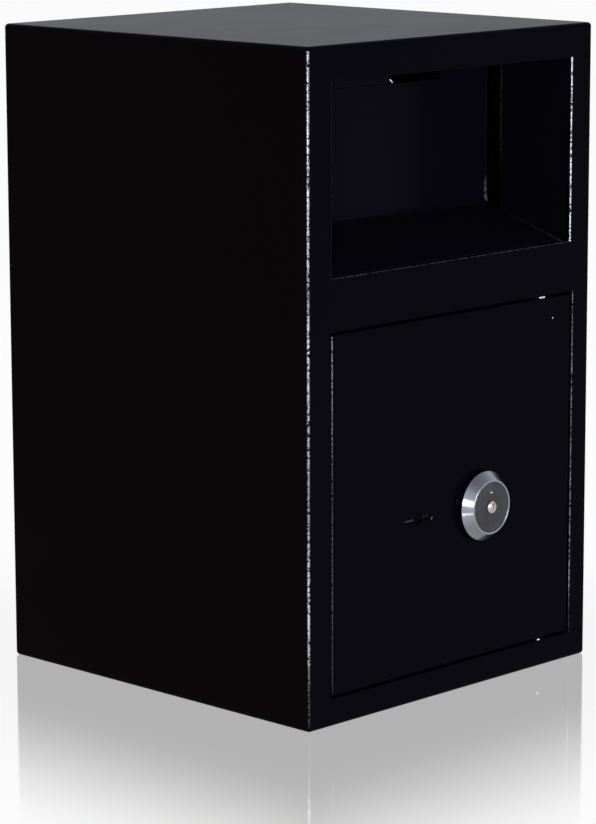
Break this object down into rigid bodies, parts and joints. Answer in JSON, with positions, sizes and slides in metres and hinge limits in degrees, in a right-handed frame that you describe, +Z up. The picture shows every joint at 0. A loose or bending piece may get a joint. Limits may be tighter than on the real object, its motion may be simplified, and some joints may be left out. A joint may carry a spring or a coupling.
{
  "type": "drop safe",
  "caption": "Upright black steel drop safe with an open deposit mouth and swinging scoop above a right-hinged door with a key lock, a turning knob and sliding bolts.",
  "frame": {"origin": "middle of the underside of the base", "axes": "+Z up, -Y out of the front with the door and the mouth, +X to the right seen from the front"},
  "size_m": [0.252, 0.2705, 0.4],
  "materials": {
    "outer_enamel": "near-black gloss enamel",
    "inner_enamel": "near-black satin enamel",
    "chrome": "polished chrome plate",
    "zinc_plate": "zinc-plated steel",
    "black_steel": "blackened steel",
    "brass": "drawn brass",
    "spring_steel": "oiled spring wire",
    "plug_plastic": "moulded matt plastic"
  },
  "bodies": {
    "safe_body": {"front_frame": "outer_enamel", "back_panel": "outer_enamel", "top_panel": "outer_enamel", "base_panel": "outer_enamel", "left_side_panel": "outer_enamel", "right_side_panel": "outer_enamel", "anchor_plug_1": "plug_plastic", "anchor_plug_2": "plug_plastic", "anchor_plug_3": "plug_plastic", "anchor_plug_4": "plug_plastic", "left_cheek": "inner_enamel", "right_cheek": "inner_enamel", "door_stop_angle": "inner_enamel", "pivot_bracket_lower": "inner_enamel", "pivot_bracket_upper": "inner_enamel", "pivot_bush_lower": "brass", "pivot_bush_upper": "brass", "thrust_washer_lower": "zinc_plate", "thrust_washer_upper": "zinc_plate", "scoop_hinge_bracket": "inner_enamel", "scoop_hinge_rod": "zinc_plate", "rod_clip_left": "black_steel", "rod_clip_right": "black_steel", "scoop_return_spring": "spring_steel", "fishing_baffle": "inner_enamel"},
    "door": {"door_plate": "outer_enamel", "hinge_stile": "inner_enamel", "pivot_pin_lower": "zinc_plate", "pivot_pin_upper": "zinc_plate", "spindle_bush": "brass", "bolt_guide_lower": "inner_enamel", "bolt_guide_upper": "inner_enamel", "bar_guide_stud": "zinc_plate", "lock_case": "zinc_plate", "lock_cap": "zinc_plate", "lock_screw_1": "black_steel", "lock_screw_2": "black_steel", "lock_screw_3": "black_steel", "lock_screw_4": "black_steel", "lever_pivot": "zinc_plate", "mechanism_cover": "inner_enamel", "cover_screw_1": "black_steel", "cover_screw_2": "black_steel", "cover_screw_3": "black_steel", "cover_screw_4": "black_steel"},
    "knob": {"knob": "chrome", "knob_screw": "zinc_plate", "knob_spindle": "zinc_plate", "drive_crank": "zinc_plate"},
    "bolt_work": {"bolt_bar": "zinc_plate", "bolt_lower": "chrome", "bolt_upper": "chrome", "bolt_screw_lower": "black_steel", "bolt_screw_upper": "black_steel"},
    "lock_bolt": {"lock_bolt": "zinc_plate"},
    "levers": {"lever_1": "brass", "lever_2": "brass", "lever_3": "brass"},
    "deposit_scoop": {"deposit_scoop": "inner_enamel"}
  },
  "joints": [
    {"name": "door_swing", "type": "hinge", "parent": "safe_body", "child": "door", "pos_m": [0.0842, -0.1205, 0.1257], "axis": [0, 0, 1], "range_deg": [0, 100]},
    {"name": "knob_turn", "type": "hinge", "parent": "door", "child": "knob", "pos_m": [0.0248, -0.12, 0.1126], "axis": [0, -1, 0], "range_deg": [0, 80.5]},
    {"name": "bolts_slide", "type": "slide", "parent": "door", "child": "bolt_work", "axis": [-1, 0, 0], "range_m": [0, 0.0154]},
    {"name": "lock_bolt_slide", "type": "slide", "parent": "door", "child": "lock_bolt", "axis": [0, 0, 1], "range_m": [0, 0.009]},
    {"name": "levers_lift", "type": "hinge", "parent": "door", "child": "levers", "pos_m": [-0.0523, -0.119, 0.0946], "axis": [0, -1, 0], "range_deg": [0, 3]},
    {"name": "scoop_swing", "type": "hinge", "parent": "safe_body", "child": "deposit_scoop", "pos_m": [0, -0.059, 0.374], "axis": [1, 0, 0], "range_deg": [0, 35], "stiffness_Nm_per_rad": 0.15, "springref_deg": -51.57, "deforming": ["scoop_return_spring"]}
  ],
  "couplings": [
    {"joint": "knob_turn", "follows": "bolts_slide", "rad_per_m": 90.508}
  ]
}
